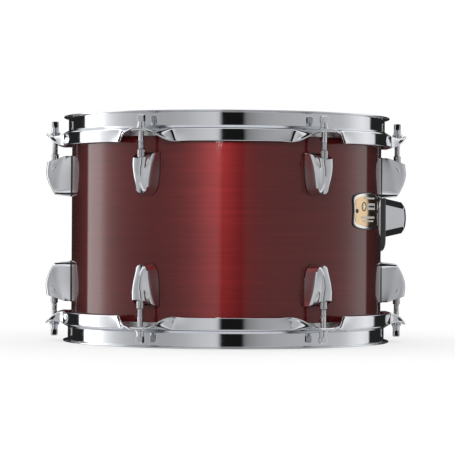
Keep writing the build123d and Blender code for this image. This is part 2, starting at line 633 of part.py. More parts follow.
def main():
    os.makedirs("parts", exist_ok=True)
    film, flesh_ring, hoop = make_film(), make_flesh_ring(), make_hoop()
    lug, rod, gasket, insert, washer = (
        make_lug(), make_tension_rod(), make_lug_gasket(), make_insert(), make_rod_washer())
    export(make_shell(), "shell")
    for side in ("batter", "resonant"):
        export(placed(film, side), f"{side}_head_film")
        export(placed(flesh_ring, side), f"{side}_flesh_hoop")
        export(placed(hoop, side), f"{side}_hoop")
        export([placed(gasket, side, a) for a in LUG_ANGLES], f"{side}_lug_gaskets")
        export([placed(insert, side, a) for a in LUG_ANGLES], f"{side}_lug_inserts")
        export([placed(washer, side, a) for a in LUG_ANGLES], f"{side}_rod_washers")
        export([placed(make_lug_screw(h), side, a) for a in LUG_ANGLES for h in LUG_SCREW_HEIGHTS],
               f"{side}_lug_screws")
        export([placed(make_lug_screw_washer(h), side, a) for a in LUG_ANGLES for h in LUG_SCREW_HEIGHTS],
               f"{side}_lug_screw_washers")
        for k, angle in enumerate(LUG_ANGLES, 1):
            export(placed(lug, side, angle), f"{side}_lug_{k}")
            export(placed(rod, side, angle), f"{side}_tension_rod_{k}")
    export(placed(make_mount_block(), "batter", MOUNT_ANGLE), "mount_block")
    export(placed(make_mount_pad(), "batter", MOUNT_ANGLE), "mount_isolator_pad")
    export(placed(make_mount_backing(), "batter", MOUNT_ANGLE), "mount_backing_plate")
    export([placed(make_mount_screw(a, h), "batter", MOUNT_ANGLE) for a, h in mount_screw_spots()],
           "mount_screws")
    export(placed(make_clamp_pad(), "batter", MOUNT_ANGLE), "clamp_pad")
    export(placed(make_wing_bolt(), "batter", MOUNT_ANGLE), "wing_bolt")
    export(placed(make_badge(), "batter", BADGE_ANGLE), "badge")
    export([placed(pin, "batter", BADGE_ANGLE) for pin in badge_pins()], "badge_pins")
    export(placed(make_vent(), "batter", VENT_ANGLE), "vent_grommet")
    export(placed(make_vent_nut(), "batter", VENT_ANGLE), "vent_nut")


main()
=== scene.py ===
"""Rack tom drum: the looks of the shell, heads, hoops, tension rods, lugs, badge and side mount.

Every length in the file is in metres. The packed parts give each piece its place, and new pieces are
surfaces worked out from two parameters, in the drum's own frame: Z is the drum's axis, the batter
head is on top, and the ring under the bottom hoop stands at height zero.
"""

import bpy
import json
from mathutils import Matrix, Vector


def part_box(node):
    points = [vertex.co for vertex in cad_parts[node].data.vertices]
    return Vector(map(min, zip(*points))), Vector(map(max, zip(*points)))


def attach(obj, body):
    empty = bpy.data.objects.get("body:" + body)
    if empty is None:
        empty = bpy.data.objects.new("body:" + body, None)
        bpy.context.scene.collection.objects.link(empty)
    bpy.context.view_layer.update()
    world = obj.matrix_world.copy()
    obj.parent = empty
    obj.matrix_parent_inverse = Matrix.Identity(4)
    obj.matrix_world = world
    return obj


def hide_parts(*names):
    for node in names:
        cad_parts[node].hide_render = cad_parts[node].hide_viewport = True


bl_info = {
    "name": "Rack Tom Drum",
    "version": (1, 0, 0),
    "blender": (4, 5, 0),
    "location": "3D View > Sidebar > Tom Drum",
    "description": "Builds the finished surfaces, materials and studio of a lacquered rack tom",
    "category": "Add Mesh",
}

import json
import math

import bpy
import numpy as np
from mathutils import Euler, Vector

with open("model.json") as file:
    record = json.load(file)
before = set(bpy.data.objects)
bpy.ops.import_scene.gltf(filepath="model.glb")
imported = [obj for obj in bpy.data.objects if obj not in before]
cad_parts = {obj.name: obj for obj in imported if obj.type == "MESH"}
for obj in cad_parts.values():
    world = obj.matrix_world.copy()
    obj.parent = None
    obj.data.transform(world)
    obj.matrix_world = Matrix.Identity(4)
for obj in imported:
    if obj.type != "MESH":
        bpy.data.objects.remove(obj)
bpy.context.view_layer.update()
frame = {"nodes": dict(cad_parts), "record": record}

SIDES = {"batter": 1.0, "resonant": -1.0}
LUG_COUNT = 6
MM = 0.001


# ---- places read from the packed parts

def box_of(node):
    """Lowest and highest corner of a packed node, as two arrays."""
    low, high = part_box(node)
    return np.array(low), np.array(high)


SHELL_LOW, SHELL_HIGH = box_of("shell")
SHELL_R = float(SHELL_HIGH[0])
MID_Z = float(SHELL_LOW[2] + SHELL_HIGH[2]) / 2
LIP_Z = float(box_of("batter_hoop")[1][2]) - MID_Z
ROD_LOW, ROD_HIGH = box_of("batter_tension_rod_1")
ROD_R = float(ROD_LOW[0] + ROD_HIGH[0]) / 2
ROD_TOP = float(ROD_HIGH[2]) - MID_Z
ROD_TIP = float(ROD_LOW[2]) - MID_Z
SEAT_GAP = 0.1 * MM         # from the washers to a rod's flange
ROD_SEAT = float(box_of("batter_rod_washers")[1][2]) - MID_Z + SEAT_GAP
LUG_TOP = float(box_of("batter_lug_1")[1][2]) - MID_Z
BADGE_LOW, BADGE_HIGH = box_of("badge")
BADGE_Z = float(BADGE_LOW[2] + BADGE_HIGH[2]) / 2
BADGE_HEIGHT = float(BADGE_HIGH[2] - BADGE_LOW[2])


# ---- sizes and colours a user may change

def size(name, description, value):
    """A length property in metres."""
    return bpy.props.FloatProperty(name=name, description=description, default=value, min=0.0,
                                   precision=5, subtype="DISTANCE", unit="LENGTH")


def colour(name, description, value):
    """A linear colour property."""
    return bpy.props.FloatVectorProperty(name=name, description=description, default=value, size=3,
                                         min=0.0, max=1.0, subtype="COLOR")


def ratio(name, description, value):
    """A plain number property from zero to one."""
    return bpy.props.FloatProperty(name=name, description=description, default=value, min=0.0, max=1.0)


class TomHoopSizes(bpy.types.PropertyGroup):
    """Sizes of a pressed steel hoop."""
    sheet: size("Sheet", "Thickness of the pressed sheet", 1.6 * MM)
    wall_radius: size("Wall radius", "Inner face of the hoop's wall", SHELL_R + 1.7 * MM)
    lip_width: size("Lip width", "Turned-out lip from the wall's inner face", 5.5 * MM)
    lip_bend: size("Lip bend", "Cut-back of the bend under the lip", 1.8 * MM)
    wall: size("Wall", "Lip to the start of the shelf", 12.8 * MM)
    skirt_length: size("Skirt length", "Sheet from the wall to the skirt's edge", 16.9 * MM)
    tongue_length: size("Tongue length", "Sheet from the wall to an ear's edge", 24.0 * MM)
    shelf: size("Shelf", "Sheet from the wall to the skirt's bend", 5.4 * MM)
    ear_half: size("Ear half", "Level half width of an ear along the rim", 4.0 * MM)
    ear_blend: size("Ear blend", "Length over which a tongue folds into the skirt", 42.0 * MM)


class TomLugSizes(bpy.types.PropertyGroup):
    """Sizes of a cast lug."""
    height: size("Height", "Top to bottom", 39.4 * MM)
    reach: size("Reach", "Shell to the tip of the nose", 24.2 * MM)
    gasket: size("Gasket", "Thickness of the pad under the lug", 1.2 * MM)
    base_half: size("Base half width", "Half width of the foot", 10.5 * MM)
    nose_half: size("Nose half width", "Half width of the nose at the top", 7.0 * MM)
    flat_top: size("Flat top", "Level part of the top face from the shell", 6.5 * MM)
    top_slope: ratio("Top slope", "Fall of the top face towards the nose", 1 / 3)
    rounding: size("Rounding", "Radius of the top edge", 0.5 * MM)


class TomRodSizes(bpy.types.PropertyGroup):
    """Sizes of a tension rod."""
    radius: size("Radius", "Outside of the thread", 2.75 * MM)
    pitch: size("Pitch", "Travel of the thread in one turn", 25.4 / 24 * MM)
    thread_depth: size("Thread depth", "Depth of the thread", 0.42 * MM)
    shank: size("Shank", "Plain length under the flange", 11.0 * MM)
    flange_radius: size("Flange radius", "Flange under the key head", 4.9 * MM)
    key_side: size("Key side", "Across the square key head", 6.35 * MM)


class TomFinishes(bpy.types.PropertyGroup):
    """Colours of the drum."""
    lacquer: colour("Lacquer", "Wood seen through the cherry lacquer", (0.096, 0.0092, 0.0098))
    lacquer_dark: colour("Dark grain", "Grain lines under the lacquer", (0.088, 0.0083, 0.0088))
    wood: colour("Bare wood", "Inside of the shell and its bearing edges", (0.55, 0.37, 0.21))
    chrome: colour("Chrome", "Plated metal", (0.70, 0.715, 0.745))
    gold: colour("Badge gold", "Face of the badge", (0.80, 0.58, 0.34))
    studio: colour("Studio", "Floor and background", (1.0, 1.0, 1.0))


GROUPS = {"tom_hoop": TomHoopSizes, "tom_lug": TomLugSizes, "tom_rod": TomRodSizes, "tom_finish": TomFinishes}


# ---- mesh helpers

def smooth(x):
    """Zero to one with level ends: 3x^2 - 2x^3 of x clipped to 0..1."""
    x = np.clip(x, 0.0, 1.0)
    return x * x * (3 - 2 * x)


def signed_volume(points, faces):
    """Sum over the faces, cut into fans, of one sixth of the box product of each triangle's corners."""
    total = 0.0
    for count in {len(f) for f in faces}:
        block = np.array([f for f in faces if len(f) == count])
        first = points[block[:, 0]]
        for k in range(1, count - 1):
            second, third = points[block[:, k]], points[block[:, k + 1]]
            total += np.einsum("ij,ij->i", first, np.cross(second, third)).sum()
    return total / 6


def make_object(name, points, faces, material, sharp=35.0):
    """A mesh object from points and faces, turned outwards, with edges over an angle kept sharp."""
    points = np.asarray(points, float)
    if signed_volume(points - points.mean(axis=0), faces) < 0:
        faces = [f[::-1] for f in faces]
    mesh = bpy.data.meshes.new(name)
    mesh.from_pydata(points.tolist(), [], [tuple(int(i) for i in f) for f in faces])
    mesh.validate()
    mesh.polygons.foreach_set("use_smooth", np.full(len(mesh.polygons), True))
    mesh.set_sharp_from_angle(angle=math.radians(sharp))
    mesh.update()
    piece = bpy.data.objects.new(name, mesh)
    bpy.context.scene.collection.objects.link(piece)
    mesh.materials.append(material)
    return piece


def tube_faces(rows, columns, closed_rows=False):
    """Quads of a grid that is closed along its columns, and along its rows too if asked."""
    last = rows if closed_rows else rows - 1
    i, j = np.meshgrid(np.arange(last), np.arange(columns), indexing="ij")
    up, right = (i + 1) % rows, (j + 1) % columns
    quads = np.stack([i * columns + j, i * columns + right, up * columns + right, up * columns + j], axis=-1)
    return quads.reshape(-1, 4).tolist()


def add_cap(faces, points, row, columns):
    """Closes one end of a tube with a fan round the mean of that row; returns the longer point list."""
    start = row * columns
    centre = points[start:start + columns].mean(axis=0)
    tip = len(points)
    points = np.vstack([points, centre])
    k = np.arange(columns)
    faces += np.stack([np.full(columns, tip), start + k, start + (k + 1) % columns], axis=-1).tolist()
    return points


def solid_of_rows(name, rows, material, sharp=35.0):
    """A closed solid from an array of rows of points, each row a closed ring, fanned shut at both ends."""
    count, columns = rows.shape[:2]
    points = rows.reshape(-1, 3)
    faces = tube_faces(count, columns)
    first = []
    points = add_cap(first, points, 0, columns)
    last = []
    points = add_cap(last, points, count - 1, columns)
    faces += [f[::-1] for f in first] + last
    return make_object(name, points, faces, material, sharp)


def to_side(points, side, angle):
    """Points drawn above the mid-plane on +X, turned over for the resonant side, turned and lifted."""
    turned = points * np.array([1.0, SIDES[side], SIDES[side]])
    c, s = math.cos(math.radians(angle)), math.sin(math.radians(angle))
    x = turned[..., 0] * c - turned[..., 1] * s
    y = turned[..., 0] * s + turned[..., 1] * c
    return np.stack([x, y, turned[..., 2] + MID_Z], axis=-1)


def settle(piece, body, slot, *nodes):
    """Ties a piece to its body, its finish and the packed nodes it stands for."""
    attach(piece, body)
    if nodes:
        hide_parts(*nodes)


# ---- materials

def new_material(name, inputs=None):
    """A node material, its tree and its Principled shader with some of its inputs set."""
    material = bpy.data.materials.new(name)
    material.use_nodes = True
    tree = material.node_tree
    shader = next(n for n in tree.nodes if n.type == "BSDF_PRINCIPLED")
    for key, value in (inputs or {}).items():
        shader.inputs[key].default_value = value
    return material, tree, shader


def add_node(tree, kind, inputs=None, **settings):
    """A node with settings; an input is a constant or another node's output."""
    node = tree.nodes.new(kind)
    for key, value in settings.items():
        setattr(node, key, value)
    for key, value in (inputs or {}).items():
        if isinstance(value, bpy.types.NodeSocket):
            tree.links.new(value, node.inputs[key])
        else:
            node.inputs[key].default_value = value
    return node


def place_noise(tree, scale, detail=4.0, rough=0.55, stretch=(1, 1, 1), distortion=0.0):
    """Noise on Object coordinates, stretched by a factor along each axis."""
    coordinates = add_node(tree, "ShaderNodeTexCoord")
    mapping = add_node(tree, "ShaderNodeMapping", {"Vector": coordinates.outputs["Object"], "Scale": stretch})
    noise = add_node(tree, "ShaderNodeTexNoise", {
        "Vector": mapping.outputs["Vector"], "Scale": scale, "Detail": detail, "Roughness": rough,
        "Distortion": distortion})
    return noise.outputs["Fac"]


def ramp(tree, factor, stops):
    """A colour ramp through (position, colour) stops, where a plain number stands for a grey."""
    node = add_node(tree, "ShaderNodeValToRGB", {"Fac": factor})
    elements = node.color_ramp.elements
    while len(elements) < len(stops):
        elements.new(0.5)
    for element, (position, tone) in zip(elements, stops):
        element.position = position
        element.color = (*(grey(tone) if isinstance(tone, float) else tone), 1.0)
    return node.outputs["Color"]


def grey(value):
    """A grey as a colour."""
    return (value, value, value)


def times(tone, factor):
    """A colour multiplied by a factor."""
    return tuple(c * factor for c in tone)


def drive(tree, shader, socket, factor, stops):
    """Feeds one of the shader's sockets from a ramp of a factor."""
    tree.links.new(ramp(tree, factor, stops), shader.inputs[socket])


def add_bump(tree, shader, height, strength, distance):
    """Bump from a height into the shader's normal."""
    bump = add_node(tree, "ShaderNodeBump", {"Height": height, "Strength": strength, "Distance": distance})
    tree.links.new(bump.outputs["Normal"], shader.inputs["Normal"])


def finish_chrome(name="chrome_plate", ripple=0.10, lift=1.0):
    """Polished chrome with the faint ripple of plated steel and slight haze, lightened by a factor."""
    # a factor over one paints a brighter reflection into the chrome's colour
    tone = times(bpy.context.scene.tom_finish.chrome, lift)
    material, tree, shader = new_material(name, {"Metallic": 1.0})
    haze = place_noise(tree, 90.0, 3.0)
    drive(tree, shader, "Roughness", haze, [(0.3, 0.035), (0.75, 0.075)])
    drive(tree, shader, "Base Color", place_noise(tree, 35.0, 2.0),
          [(0.3, tone), (0.8, tuple(min(1.0, c * 1.04) for c in tone))])
    add_bump(tree, shader, place_noise(tree, 55.0, 2.0), ripple, 0.3 * MM)
    return material


def finish_steel(name, tone, rough):
    """Zinc plated or brushed metal with fine grain."""
    material, tree, shader = new_material(name, {"Metallic": 1.0})
    grain = place_noise(tree, 700.0, 3.0, stretch=(1, 1, 4))
    drive(tree, shader, "Base Color", grain, [(0.25, times(tone, 0.86)), (0.8, tone)])
    drive(tree, shader, "Roughness", grain, [(0.2, rough * 0.8), (0.8, rough * 1.25)])
    add_bump(tree, shader, grain, 0.12, 0.1 * MM)
    return material


def finish_shell():
    """Clear lacquer over cherry-stained wood outside, bare birch inside and on the bearing edges."""
    tones = bpy.context.scene.tom_finish
    material, tree, shader = new_material("cherry_lacquer", {
        "Roughness": 0.41, "Specular IOR Level": 0.0,
        "Coat Weight": 1.0, "Coat Roughness": 0.03, "Coat IOR": 1.5})
    streaks = place_noise(tree, 5.0, 6.0, 0.6, stretch=(1.6, 1.6, 60.0), distortion=0.2)
    clouds = place_noise(tree, 7.0, 3.0, 0.5, stretch=(1.0, 1.0, 1.8))
    pores = place_noise(tree, 24.0, 4.0, 0.6, stretch=(2.5, 2.5, 90.0))
    stained = ramp(tree, streaks, [
        (0.30, tuple(tones.lacquer_dark)), (0.52, tuple(tones.lacquer)),
        (0.75, times(tones.lacquer, 1.22))])
    cloudy = mix(tree, 1.0, stained, ramp(tree, clouds, [(0.3, 0.84), (0.7, 1.0)]), "MULTIPLY")
    fine = mix(tree, 1.0, cloudy, ramp(tree, pores, [(0.30, 0.78), (0.45, 1.0)]), "MULTIPLY")
    bare = ramp(tree, streaks, [(0.3, times(tones.wood, 0.72)), (0.7, tuple(tones.wood))])
    outside = radius_mask(tree, SHELL_R - 0.4 * MM, 0.15 * MM)
    tree.links.new(mix(tree, outside, bare, fine), shader.inputs["Base Color"])
    sheen = add_node(tree, "ShaderNodeMath", {0: outside, 1: 0.70}, operation="MULTIPLY")
    tree.links.new(sheen.outputs["Value"], shader.inputs["Metallic"])
    return material


def mix(tree, factor, a, b, blend="MIX"):
    """Colour output of a Mix node, whose colour sockets share their names with its other data types."""
    a, b = (c if isinstance(c, bpy.types.NodeSocket) else (*c, 1.0) for c in (a, b))
    node = add_node(tree, "ShaderNodeMix", {0: factor, 6: a, 7: b}, data_type="RGBA", blend_type=blend)
    return node.outputs[2]


def radius_mask(tree, edge, softness):
    """One outside a radius round the drum's axis and zero inside it."""
    coordinates = add_node(tree, "ShaderNodeTexCoord")
    flat = add_node(tree, "ShaderNodeVectorMath", {0: coordinates.outputs["Object"], 1: (1.0, 1.0, 0.0)},
                    operation="MULTIPLY")
    length = add_node(tree, "ShaderNodeVectorMath", {0: flat.outputs["Vector"]}, operation="LENGTH")
    mask = add_node(tree, "ShaderNodeMapRange", {
        "Value": length.outputs["Value"], "From Min": edge - softness, "From Max": edge + softness})
    return mask.outputs["Result"]


def finish_batter_film():
    """White coated film: a fine sandy coat, clearer over the rolled collar."""
    material, tree, shader = new_material("coated_head")
    grain = place_noise(tree, 1600.0, 3.0, 0.7)
    tone = ramp(tree, place_noise(tree, 30.0, 3.0), [(0.3, (0.80, 0.80, 0.78)), (0.7, (0.86, 0.86, 0.84))])
    collar = radius_mask(tree, SHELL_R - 6.5 * MM, 0.4 * MM)
    tree.links.new(mix(tree, collar, tone, (0.74, 0.75, 0.75)), shader.inputs["Base Color"])
    drive(tree, shader, "Roughness", collar, [(0.0, 0.62), (1.0, 0.25)])
    add_bump(tree, shader, grain, 0.35, 0.08 * MM)
    return material


def finish_clear_film():
    """Clear film, with a faint cloud, through which the shell's inside shows."""
    material, tree, shader = new_material("clear_head", {"Alpha": 0.32})
    cloud = place_noise(tree, 25.0, 3.0)
    drive(tree, shader, "Base Color", cloud, [(0.3, (0.80, 0.83, 0.85)), (0.7, (0.88, 0.90, 0.92))])
    drive(tree, shader, "Roughness", cloud, [(0.3, 0.06), (0.8, 0.12)])
    return material


def finish_black(name, rough, tone=0.012):
    """Black rubber or plastic with a fine moulded texture."""
    material, tree, shader = new_material(name)
    grain = place_noise(tree, 900.0, 3.0)
    drive(tree, shader, "Base Color", grain, [(0.3, tone * 0.7), (0.7, tone * 1.5)])
    drive(tree, shader, "Roughness", grain, [(0.3, rough * 0.85), (0.7, rough * 1.15)])
    add_bump(tree, shader, grain, 0.15, 0.05 * MM)
    return material


def finish_nylon():
    """Natural nylon of the clamp pad."""
    material, tree, shader = new_material("natural_nylon")
    cloud = place_noise(tree, 300.0, 3.0)
    drive(tree, shader, "Base Color", cloud, [(0.3, (0.62, 0.61, 0.55)), (0.7, (0.70, 0.69, 0.63))])
    drive(tree, shader, "Roughness", cloud, [(0.3, 0.38), (0.7, 0.5)])
    return material


def finish_badge(name, tone, rough, metal=1.0):
    """Satin metal or metallic print of the badge, brushed along the drum's height."""
    material, tree, shader = new_material(name, {"Metallic": metal})
    brushed = place_noise(tree, 500.0, 3.0, stretch=(1.0, 1.0, 0.12))
    drive(tree, shader, "Base Color", brushed, [(0.25, times(tone, 0.88)), (0.75, tone)])
    drive(tree, shader, "Roughness", brushed, [(0.2, rough * 0.8), (0.8, rough * 1.3)])
    add_bump(tree, shader, brushed, 0.08, 0.05 * MM)
    return material


def finish_of(name):
    """The material made earlier under that name."""
    material = bpy.data.materials.get(name)
    if material is None:
        raise RuntimeError(f"the finish {name} has not been made")
    return material


class TOM_OT_finishes(bpy.types.Operator):
    """Make every finish and put it on the packed parts that stay visible"""
    bl_idname = "tom.finishes"
    bl_label = "Finishes"

    def execute(self, context):
        tones = context.scene.tom_finish
        made = {
            "shell_wood": finish_shell(),
            "chrome": finish_chrome(),
            "steel": finish_steel("zinc_steel", (0.60, 0.61, 0.63), 0.28),
            "aluminium": finish_steel("ring_aluminium", (0.78, 0.78, 0.77), 0.32),
            "coated_film": finish_batter_film(),
            "clear_film": finish_clear_film(),
            "black_rubber": finish_black("soft_rubber", 0.42, 0.028),
            "black_plastic": finish_black("black_enamel", 0.25, 0.008),
            "nylon": finish_nylon(),
            "badge_metal": finish_badge("badge_gold", tuple(tones.gold), 0.09),
        }
        finish_chrome("cast_chrome", 0.07)
        # a lighter copy of the chrome for the mount block: painted brighter reflection on its faces
        block_chrome_painted_brighter = finish_chrome("block_chrome_painted_brighter", 0.12, 1.24)
        finish_badge("badge_silver", (0.86, 0.85, 0.82), 0.08)
        finish_badge("badge_print", (0.50, 0.49, 0.46), 0.35, 0.1)
        slots = {part["node"]: part["material_slot"] for part in frame["record"]["subparts"]}
        for node, packed in frame["nodes"].items():
            if slots[node] not in made:
                raise RuntimeError(f"no finish for {node}")
            for holder in packed.material_slots:
                # the mount block gets the lighter chrome copy with its painted brighter reflection
                holder.material = block_chrome_painted_brighter if node == "mount_block" else made[slots[node]]
        return {"FINISHED"}


# ---- hoops

EAR_ROUND = 3 * MM          # rounding of a fold's start beside the ear
EAR_POWER = 1.6             # fall of the ear share along the fold
MIX_POWER = 1.5             # further power of that share, which mixes the two cross-sections
SHELF_TURN = 60.0           # degrees from the wall to the shelf, and from the shelf to the skirt
SHELF_BEND = 1.4 * MM
SKIRT_BEND = 2.4 * MM
DIP_TURN = 6.0              # degrees by which a tongue dips under the shelf before it levels out
DIP_BEND = 0.8 * MM
LEVEL_START, LEVEL_BEND = 7.0 * MM, 3.8 * MM
SHELF_END = (0.22, 0.88)    # ear shares between which the skirt's bend moves out to the edge
EDGE_TURN = 38.0            # degrees by which a tongue's last part turns up
EDGE_LENGTH, EDGE_BEND = 3.0 * MM, 1.4 * MM


def hoop_centre_line(sizes, along):
    """Middle of the hoop's sheet at places along the rim: radius and height arrays, one row a place.

    The lip and the wall are the same all round, joined by a parabola. From the wall the sheet is the
    running sum of its steps' cosines and sines, whose angle below level falls from 90 to a sloping
    shelf of 30 degrees. Between the ears the angle then climbs back to 90 at a bend, which moves out
    to the edge towards an ear. At an ear the angle falls to level and turns up at the edge. The two
    are mixed by a power of the ear share, itself a power of the distance left to the end of the fold,
    whose start is rounded by a hyperbola.
    """
    past = np.clip(np.abs(along) - sizes.ear_half, 0, None)
    fold = np.sqrt(past ** 2 + EAR_ROUND ** 2) - EAR_ROUND
    ear = (np.clip(1 - fold / sizes.ear_blend, 0, 1) ** EAR_POWER)[:, None]
    wall = sizes.wall_radius + sizes.sheet / 2
    lip = LIP_Z - sizes.sheet / 2
    bend = sizes.lip_bend
    t = np.linspace(0, 1, 6)
    bend_r = (1 - t) ** 2 * (wall + bend) + (1 - (1 - t) ** 2) * wall
    bend_z = lip - t ** 2 * bend
    fall = np.linspace(0.25, 1, 4)
    radii = np.concatenate([[sizes.wall_radius + sizes.lip_width], bend_r, wall + 0 * fall])
    heights = np.concatenate([[lip], bend_z, lip - bend - (sizes.wall - bend) * fall])
    near = ear ** MIX_POWER
    length = sizes.skirt_length + (sizes.tongue_length - sizes.skirt_length) * near
    start, end = SHELF_END
    shelf = sizes.shelf + (length - sizes.shelf) * smooth((ear - start) / (end - start))
    edges = np.hstack([np.linspace(0, 1, 15) * sizes.shelf + 0 * length,
                       sizes.shelf + (length - sizes.shelf) * np.linspace(0, 1, 37)[None, 1:]])
    s = (edges[:, 1:] + edges[:, :-1]) / 2
    shelf_turn = 90 - SHELF_TURN * smooth(s / SHELF_BEND)
    skirt_turn = shelf_turn + SHELF_TURN * smooth((s - shelf) / SKIRT_BEND)
    tongue_turn = (shelf_turn + DIP_TURN * smooth((s - sizes.shelf) / DIP_BEND)
                   - (90 - SHELF_TURN + DIP_TURN) * smooth((s - LEVEL_START) / LEVEL_BEND)
                   - EDGE_TURN * smooth((s - length + EDGE_LENGTH) / EDGE_BEND))
    turn = np.radians(skirt_turn + (tongue_turn - skirt_turn) * near)
    step = np.diff(edges, axis=1)
    r_flange = wall + np.cumsum(np.cos(turn) * step, axis=1)
    z_flange = heights[-1] - np.cumsum(np.sin(turn) * step, axis=1)
    count = len(along)
    return (np.hstack([np.tile(radii, (count, 1)), r_flange]),
            np.hstack([np.tile(heights, (count, 1)), z_flange]))


def sheet_loop(r, z, thickness):
    """Closed outline of a sheet round its middle line: each point is moved half the thickness along
    the line's normal, first on one side out and then on the other side back, with rounded ends."""
    dr, dz = np.gradient(r, axis=1), np.gradient(z, axis=1)
    length = np.hypot(dr, dz)
    tr, tz = dr / length, dz / length
    nr, nz = -tz, tr
    half = thickness / 2
    one = (r + nr * half, z + nz * half)
    two = (r - nr * half, z - nz * half)

    def round_end(k, way):
        """Three points round the sheet's end at column k, from its upper to its lower face."""
        turns = np.radians([45.0, 0.0, -45.0])
        out, side = way * half * np.cos(turns), half * np.sin(turns)
        return (r[:, k:k + 1] + tr[:, k:k + 1] * out + nr[:, k:k + 1] * side,
                z[:, k:k + 1] + tz[:, k:k + 1] * out + nz[:, k:k + 1] * side)

    far = round_end(r.shape[1] - 1, 1)
    near = round_end(0, -1)
    loop_r = np.hstack([one[0], far[0], two[0][:, ::-1], near[0][:, ::-1]])
    loop_z = np.hstack([one[1], far[1], two[1][:, ::-1], near[1][:, ::-1]])
    return loop_r, loop_z


FOLD_PLACES = 0.44          # share of the places that lie over one ear's fold


def rim_places(sizes, count):
    """Places along one sixth of the rim, from ear to ear, closer together over the ear's folds."""
    pitch = 2 * math.pi * ROD_R / LUG_COUNT
    t = np.arange(count) / count
    edge = (sizes.ear_half + sizes.ear_blend) / pitch
    knots = [0.0, FOLD_PLACES, 1 - FOLD_PLACES, 1.0]
    return np.interp(t, knots, [0.0, edge, 1 - edge, 1.0]) * pitch


class TOM_OT_hoops(bpy.types.Operator):
    """Build the two pressed steel hoops with their folded ears"""
    bl_idname = "tom.hoops"
    bl_label = "Hoops"

    def execute(self, context):
        sizes = context.scene.tom_hoop
        chrome = finish_of("chrome_plate")
        pitch = 2 * math.pi * ROD_R / LUG_COUNT
        places = rim_places(sizes, 110)
        distance = np.minimum(places, pitch - places)
        r, z = hoop_centre_line(sizes, distance)
        r, z = sheet_loop(r, z, sizes.sheet)
        r, z = np.tile(r, (LUG_COUNT, 1)), np.tile(z, (LUG_COUNT, 1))
        angle = np.concatenate([(places + k * pitch) / ROD_R for k in range(LUG_COUNT)])[:, None]
        ring = np.stack([r * np.cos(angle), r * np.sin(angle), z], axis=-1)
        for side in SIDES:
            points = to_side(ring, side, 0.0).reshape(-1, 3)
            faces = tube_faces(*ring.shape[:2], closed_rows=True)
            hoop = make_object(f"{side}_hoop_pressing", points, faces, chrome, 60.0)
            settle(hoop, f"{side}_hoop_body", "chrome", f"{side}_hoop")
        return {"FINISHED"}


# ---- tension rods

SHANK_CUT = 0.12 * MM       # by which the plain shank is thinner than the thread
THREAD_FLAT = 0.125         # share of the wave's height cut off at crest and root
TIP_LENGTH = 1.2 * MM       # from the tip to the thread's first row


def round_square(radius, squareness, angle):
    """Radius of a superellipse in a direction: round at squareness 2, square as it grows."""
    p = squareness
    return radius / (np.abs(np.cos(angle)) ** p + np.abs(np.sin(angle)) ** p) ** (1 / p)


def rod_rows(sizes):
    """Rows of a tension rod from tip to key head, above the mid-plane, on +X.

    The tip and the head are rings given by height, radius and squareness, from round to square. The
    thread's radius falls by a triangle wave of height over pitch less angle over a full turn, so its
    crest climbs one pitch a turn.
    """
    around = np.arange(40) / 40 * 2 * np.pi + math.pi / 4
    low = ROD_TIP + TIP_LENGTH
    high = ROD_SEAT - sizes.shank
    z = np.linspace(low, high, int((high - low) / sizes.pitch * 7))[:, None]
    wave = np.abs(((z / sizes.pitch - around[None, :] / (2 * np.pi)) % 1.0) - 0.5) * 2
    crest = np.clip(wave * (1 + 2 * THREAD_FLAT) - THREAD_FLAT, 0, 1)
    fade = smooth((high - z) / (1.5 * sizes.pitch))
    thread = sizes.radius - sizes.thread_depth * (1 - crest) * fade - SHANK_CUT * (1 - fade)
    rings = [(ROD_TIP, 1.5 * MM, 2.0), (ROD_TIP + 0.25 * MM, 1.9 * MM, 2.0)]
    plain = sizes.radius - SHANK_CUT
    flange, key = sizes.flange_radius, sizes.key_side / 2
    seat = ROD_SEAT
    head = [(seat - 0.6 * MM, plain, 2.0), (seat, plain, 2.0), (seat, plain + 0.4 * MM, 2.0),
            (seat, flange - 0.25 * MM, 2.0), (seat + 0.25 * MM, flange, 2.0), (seat + 1.1 * MM, flange, 2.0),
            (seat + 1.4 * MM, flange - 0.3 * MM, 2.0), (seat + 1.6 * MM, flange - 0.95 * MM, 2.0),
            (seat + 3.2 * MM, flange - 1.35 * MM, 2.0), (seat + 4.8 * MM, flange - 1.5 * MM, 2.0),
            (seat + 5.7 * MM, flange - 1.65 * MM, 2.2), (seat + 6.1 * MM, key, 3.0),
            (seat + 6.4 * MM, key, 9.0), (ROD_TOP - 1.1 * MM, key, 12.0),
            (ROD_TOP - 0.45 * MM, key - 0.2 * MM, 9.0), (ROD_TOP - 0.1 * MM, key - 0.65 * MM, 5.0),
            (ROD_TOP, key - 1.1 * MM, 4.0)]
    radius = np.vstack([
        np.array([round_square(r, p, around) for _, r, p in rings]), thread,
        np.array([round_square(r, p, around) for _, r, p in head])])
    height = np.concatenate([[h for h, _, _ in rings], z[:, 0], [h for h, _, _ in head]])[:, None]
    return np.stack([ROD_R + radius * np.cos(around), radius * np.sin(around),
                     height + 0 * radius], axis=-1)


class TOM_OT_rods(bpy.types.Operator):
    """Build the threaded tension rods with their square key heads"""
    bl_idname = "tom.rods"
    bl_label = "Tension rods"

    def execute(self, context):
        rows = rod_rows(context.scene.tom_rod)
        chrome = finish_of("cast_chrome")
        for side in SIDES:
            for k in range(LUG_COUNT):
                turned = to_side(rows, side, k * 360 / LUG_COUNT)
                rod = solid_of_rows(f"{side}_key_rod_{k + 1}", turned, chrome, 32.0)
                settle(rod, f"{side}_rod_{k + 1}_body", "chrome", f"{side}_tension_rod_{k + 1}")
        return {"FINISHED"}


# ---- lugs

KNEE = 0.30                 # shares of the height: where the lug starts to close in,
NOTCH_END = 0.32            # where the notch has run out,
FOOT_START = 0.80           # and where the foot
KEEL_START = 0.885          # and the bottom start to round off


